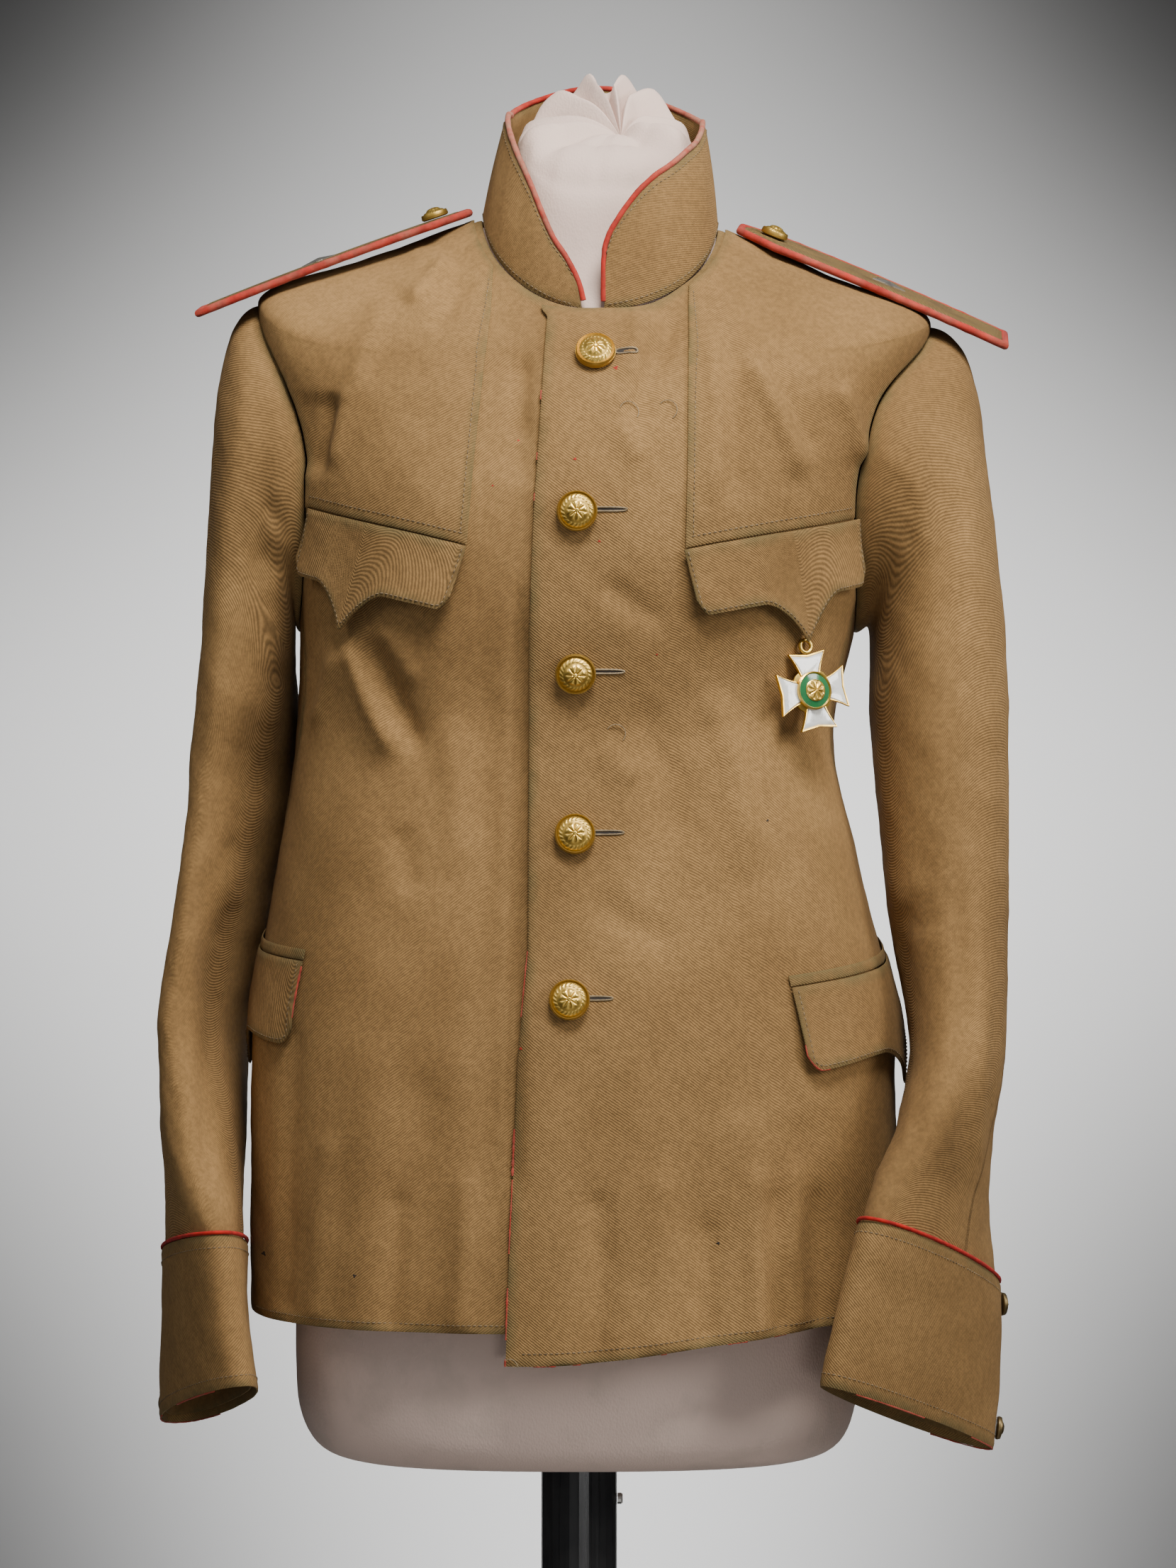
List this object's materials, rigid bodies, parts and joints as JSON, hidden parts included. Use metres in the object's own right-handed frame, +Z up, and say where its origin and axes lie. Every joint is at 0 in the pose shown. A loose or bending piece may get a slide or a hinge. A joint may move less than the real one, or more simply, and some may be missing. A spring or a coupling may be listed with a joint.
{
  "type": "military tunic on a limbless dress form",
  "caption": "Khaki high-collared military tunic with shoulder boards, flapped pockets and a breast badge, worn by a limbless dress form on a pole and a round base.",
  "frame": {"origin": "middle of the base plate's underside, on the floor", "axes": "+Z up the pole, -Y out of the chest, +X to the wearer's left"},
  "size_m": [0.4839, 0.3, 1.0915],
  "materials": {
    "khaki_twill": "matt wool twill",
    "board_galloon": "aged metallic braid",
    "red_piping": "matt wool cord",
    "gilt_brass": "worn gilt",
    "dull_brass": "tarnished",
    "wire_steel": "bare wire",
    "form_jersey": "cream jersey cover",
    "black_paint": "satin black",
    "white_enamel": "glossy enamel",
    "green_enamel": "glossy enamel"
  },
  "bodies": {
    "root": {"back": "khaki_twill", "front_left": "khaki_twill", "front_right": "khaki_twill", "side_left": "khaki_twill", "side_right": "khaki_twill", "yoke_left": "khaki_twill", "yoke_right": "khaki_twill", "sleeve_left": "khaki_twill", "sleeve_right": "khaki_twill", "cuff_left": "khaki_twill", "cuff_right": "khaki_twill", "collar": "khaki_twill", "breast_flap_left": "khaki_twill", "breast_flap_right": "khaki_twill", "hip_flap_left": "khaki_twill", "hip_flap_right": "khaki_twill", "hip_welt_left": "khaki_twill", "hip_welt_right": "khaki_twill", "board_left": "board_galloon", "board_right": "board_galloon", "collar_piping": "red_piping", "cuff_piping_left": "red_piping", "cuff_piping_right": "red_piping", "board_piping_left": "red_piping", "board_piping_right": "red_piping", "front_button_1": "gilt_brass", "front_button_2": "gilt_brass", "front_button_3": "gilt_brass", "front_button_4": "gilt_brass", "front_button_5": "gilt_brass", "board_button_left": "gilt_brass", "board_button_right": "gilt_brass", "badge_loop": "gilt_brass", "cuff_button_left_1": "dull_brass", "cuff_button_left_2": "dull_brass", "cuff_button_right_1": "dull_brass", "cuff_button_right_2": "dull_brass", "collar_hook": "wire_steel", "collar_eye": "wire_steel", "set_screw": "wire_steel", "badge_cross": "white_enamel", "badge_centre": "green_enamel", "form": "form_jersey", "pole": "black_paint", "base_plate": "black_paint"}
  },
  "joints": []
}
